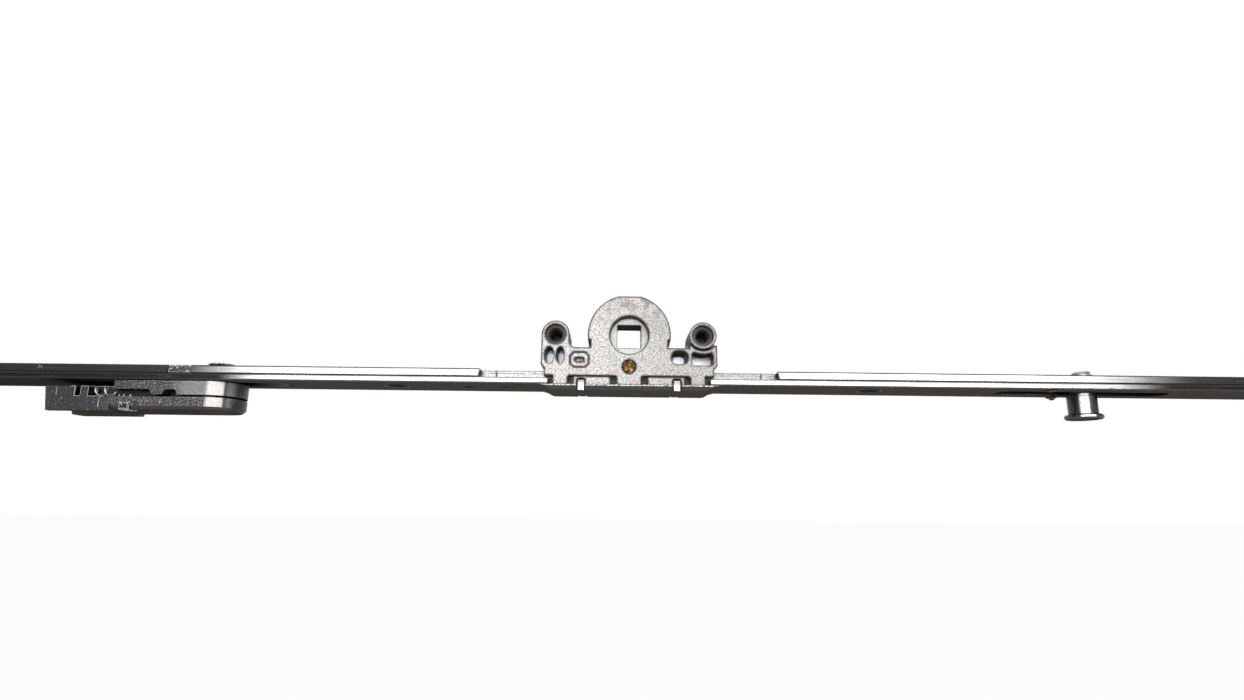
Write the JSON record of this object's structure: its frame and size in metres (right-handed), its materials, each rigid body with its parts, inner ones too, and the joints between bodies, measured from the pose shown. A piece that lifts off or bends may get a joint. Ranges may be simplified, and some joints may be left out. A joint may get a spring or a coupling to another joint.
{
  "type": "window espagnolette gearbox",
  "caption": "Concealed window espagnolette: die-cast gearbox on a faceplate rail, geared drive strips, a mushroom cam and a sash lifter with two levers.",
  "frame": {"origin": "middle of the square spindle socket, on its axis and halfway through the gearbox", "axes": "+X along the rail towards the mushroom cam, +Y from the handle side to the far side, +Z from the faceplate towards the gearbox dome"},
  "size_m": [0.3844, 0.016, 0.0357],
  "materials": {
    "case_zinc": "die-cast zinc alloy, as cast, mottled",
    "follower_zinc": "die-cast zinc alloy, smooth",
    "rack_zinc": "die-cast zinc alloy, grainy",
    "lever_zinc": "die-cast zinc alloy, dull grey, grainy",
    "rail_steel": "rolled steel strip, bright zinc plated",
    "rivet_steel": "turned steel, peened head",
    "cam_steel": "turned steel, zinc plated, greased",
    "spring_steel": "drawn spring wire",
    "pin_brass": "sheared brass, tarnished"
  },
  "bodies": {
    "housing": {"near_case_half": "case_zinc", "far_case_half": "case_zinc", "case_tray": "case_zinc", "fixing_pin_stub": "pin_brass", "faceplate": "rail_steel"},
    "drive": {"drive_rack": "rack_zinc", "drive_strip_left": "rail_steel", "drive_strip_right": "rail_steel", "strip_stake": "rail_steel", "cam_rivet": "rivet_steel", "cam_washer": "cam_steel", "lever_rivet": "rivet_steel", "lever_spacer": "rivet_steel"},
    "follower": {"follower": "follower_zinc"},
    "cam": {"cam_roller": "cam_steel"},
    "upper_lever": {"blocking_lever": "lever_zinc"},
    "lower_lever": {"lifter_lever": "lever_zinc", "lever_peg": "rivet_steel", "lifter_spring": "spring_steel"}
  },
  "joints": [
    {"name": "drive_slide", "type": "slide", "parent": "housing", "child": "drive", "axis": [1, 0, 0], "range_m": [-0.018, 0.018]},
    {"name": "follower_turn", "type": "hinge", "parent": "housing", "child": "follower", "pos_m": [0, 0, 0], "axis": [0, 1, 0], "range_deg": [-90, 90]},
    {"name": "cam_turn", "type": "hinge", "parent": "drive", "child": "cam", "pos_m": [0.1344, 0, -0.0188], "axis": [0, 0, 1], "continuous": true},
    {"name": "upper_lever_swing", "type": "hinge", "parent": "drive", "child": "upper_lever", "pos_m": [-0.12, 0, -0.0173], "axis": [0, 0, 1], "range_deg": [0, 8], "stiffness_Nm_per_rad": 0.02, "springref_deg": -2.86},
    {"name": "lower_lever_swing", "type": "hinge", "parent": "drive", "child": "lower_lever", "pos_m": [-0.12, 0, -0.02165], "axis": [0, 0, 1], "range_deg": [0, 12], "stiffness_Nm_per_rad": 0.02, "springref_deg": -2.86}
  ],
  "couplings": [
    {"joint": "follower_turn", "follows": "drive_slide", "rad_per_m": -87.266}
  ]
}
